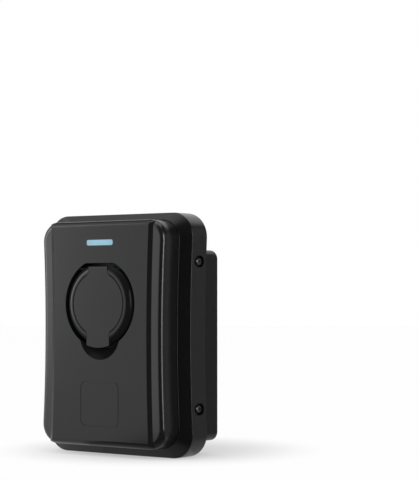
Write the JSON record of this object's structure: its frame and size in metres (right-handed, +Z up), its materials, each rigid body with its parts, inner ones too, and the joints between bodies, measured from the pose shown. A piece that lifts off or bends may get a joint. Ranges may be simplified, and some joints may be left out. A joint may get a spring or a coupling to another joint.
{
  "type": "ev wallbox",
  "caption": "Slim wall-mounted car charging box with waisted sides, a raised front panel, a status light bar and a flap-covered charging socket.",
  "frame": {"origin": "middle of the wall fixing holes, on the back face against the wall", "axes": "+Z up, +X to the right seen from the front, the front faces -Y and +Y points into the wall"},
  "size_m": [0.1798, 0.0936, 0.235],
  "materials": {
    "fascia_plastic": "fine satin moulding",
    "housing_plastic": "fine satin moulding",
    "back_plastic": "fine matte moulding",
    "flap_plastic": "fine satin moulding",
    "badge_plastic": "smooth, bare",
    "light_bar": "milky light guide",
    "light_chip": "clear",
    "steel": "zinc plated",
    "seal_rubber": "soft matte",
    "socket_plastic": "smooth",
    "contact_metal": "silver plated",
    "circuit_board": "solder mask",
    "relay_plastic": "moulded",
    "terminal_plastic": "moulded",
    "core_plastic": "moulded",
    "capacitor_can": "sleeved can",
    "shield_metal": "tinned"
  },
  "bodies": {
    "case": {"fascia": "fascia_plastic", "housing": "housing_plastic", "back_box": "back_plastic", "badge_plate": "badge_plastic", "led_lens": "light_bar", "led_chips": "light_chip", "side_screws": "steel", "fascia_screws": "steel", "led_screws": "steel", "socket_screws": "steel", "lock_screws": "steel", "board_screws": "steel", "flap_hinge_pin": "steel", "flap_spring": "steel", "terminal_screws": "steel", "housing_gasket": "seal_rubber", "socket_gasket": "seal_rubber", "entry_grommet": "seal_rubber", "socket_body": "socket_plastic", "lock_actuator": "socket_plastic", "power_contacts": "contact_metal", "signal_contacts": "contact_metal", "led_board": "circuit_board", "main_board": "circuit_board", "relays": "relay_plastic", "power_supply": "relay_plastic", "terminal_block": "terminal_plastic", "current_sensor": "core_plastic", "capacitors": "capacitor_can", "control_module": "shield_metal"},
    "flap": {"socket_flap": "flap_plastic", "flap_seal": "seal_rubber"},
    "lock_bolt": {"lock_pin": "steel"}
  },
  "joints": [
    {"name": "flap_hinge", "type": "hinge", "parent": "case", "child": "flap", "pos_m": [0, -0.0889, 0.0639], "axis": [-1, 0, 0], "range_deg": [0, 95], "stiffness_Nm_per_rad": 0.02, "springref_deg": -20.05, "deforming": ["flap_spring"]},
    {"name": "lock_slide", "type": "slide", "parent": "case", "child": "lock_bolt", "axis": [-1, 0, 0], "range_m": [0, 0.005]}
  ]
}
